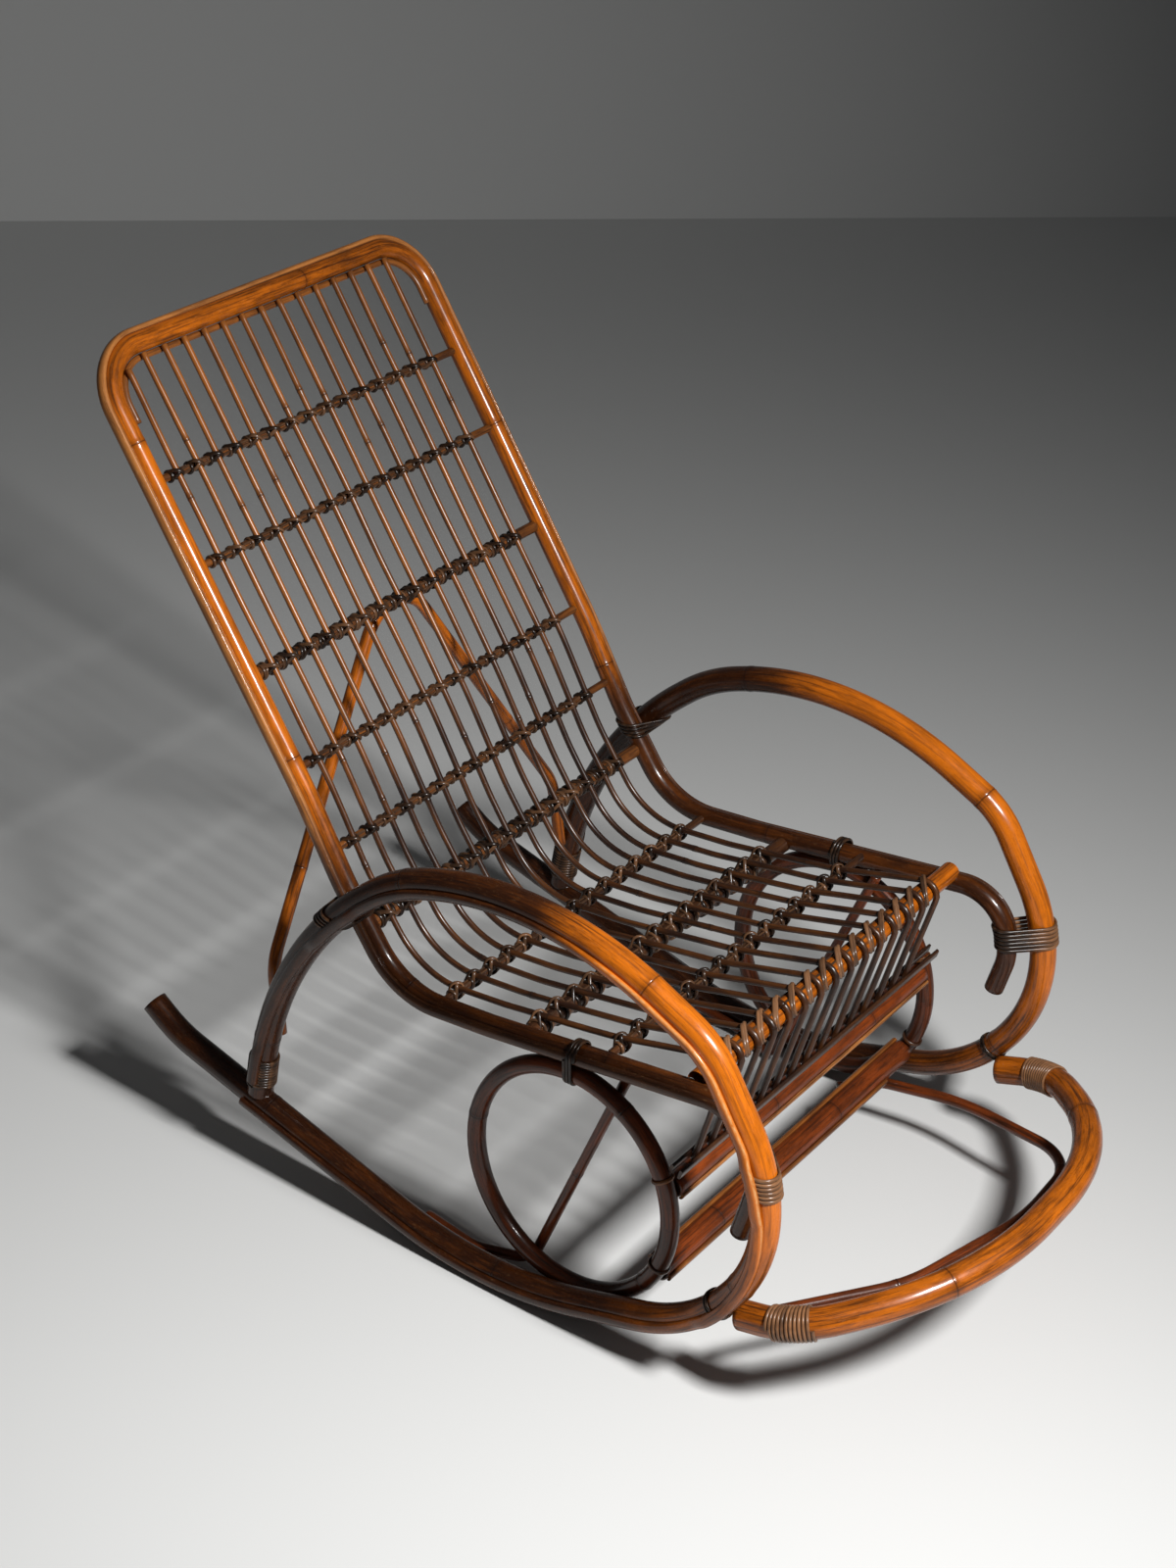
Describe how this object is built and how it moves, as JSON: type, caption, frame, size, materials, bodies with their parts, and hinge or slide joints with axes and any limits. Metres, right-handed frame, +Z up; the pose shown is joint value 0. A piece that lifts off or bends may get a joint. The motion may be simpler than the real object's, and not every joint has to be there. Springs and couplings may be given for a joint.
{
  "type": "rocking chair",
  "caption": "Rattan rocking chair with bent pole side frames, a back and seat of long thin rods, oval side rings and a footrest loop.",
  "frame": {"origin": "on the floor, under the middle of the chair's bounding box", "axes": "+X to the chair's left side, +Y to its back, +Z up; the sitter faces -Y"},
  "size_m": [0.6564, 1.1604, 0.9787],
  "materials": {
    "pole_amber": "glossy lacquered rattan pole",
    "pole_brown": "glossy lacquered rattan pole, darker",
    "rod_brown": "lacquered thin cane",
    "cane_tie": "lacquered binding cane"
  },
  "bodies": {
    "root": {"right_side_frame": "pole_amber", "left_side_frame": "pole_amber", "right_side_strip": "pole_amber", "left_side_strip": "pole_amber", "back_frame": "pole_amber", "back_strip": "pole_amber", "back_rung_3": "pole_amber", "back_rung_6": "pole_amber", "seat_rung_1": "pole_amber", "seat_rung_2": "pole_amber", "seat_rung_3": "pole_amber", "seat_front_roll": "pole_amber", "upper_stretcher_strip": "pole_amber", "lower_stretcher_strips": "pole_amber", "upper_stretcher": "pole_brown", "lower_stretcher": "pole_brown", "right_oval_ring": "pole_brown", "left_oval_ring": "pole_brown", "rear_brace": "pole_brown", "right_seat_brace": "pole_brown", "left_seat_brace": "pole_brown", "footrest_loop": "pole_brown", "footrest_inner_cane": "pole_brown", "top_inner_strip": "rod_brown", "back_rung_1": "rod_brown", "back_rung_2": "rod_brown", "back_rung_4": "rod_brown", "back_rung_5": "rod_brown", "apron_front_strip": "rod_brown", "apron_back_strip": "rod_brown", "rod_01": "rod_brown", "rod_02": "rod_brown", "rod_03": "rod_brown", "rod_04": "rod_brown", "rod_05": "rod_brown", "rod_06": "rod_brown", "rod_07": "rod_brown", "rod_08": "rod_brown", "rod_09": "rod_brown", "rod_10": "rod_brown", "rod_11": "rod_brown", "rod_12": "rod_brown", "rod_13": "rod_brown", "rod_14": "rod_brown", "rod_15": "rod_brown", "back_knots": "cane_tie", "seat_knots": "cane_tie", "foot_wraps": "cane_tie", "footrest_wraps": "cane_tie", "front_lashings": "cane_tie", "back_lashings": "cane_tie", "curl_bands": "cane_tie", "ring_ties": "cane_tie"}
  },
  "joints": []
}
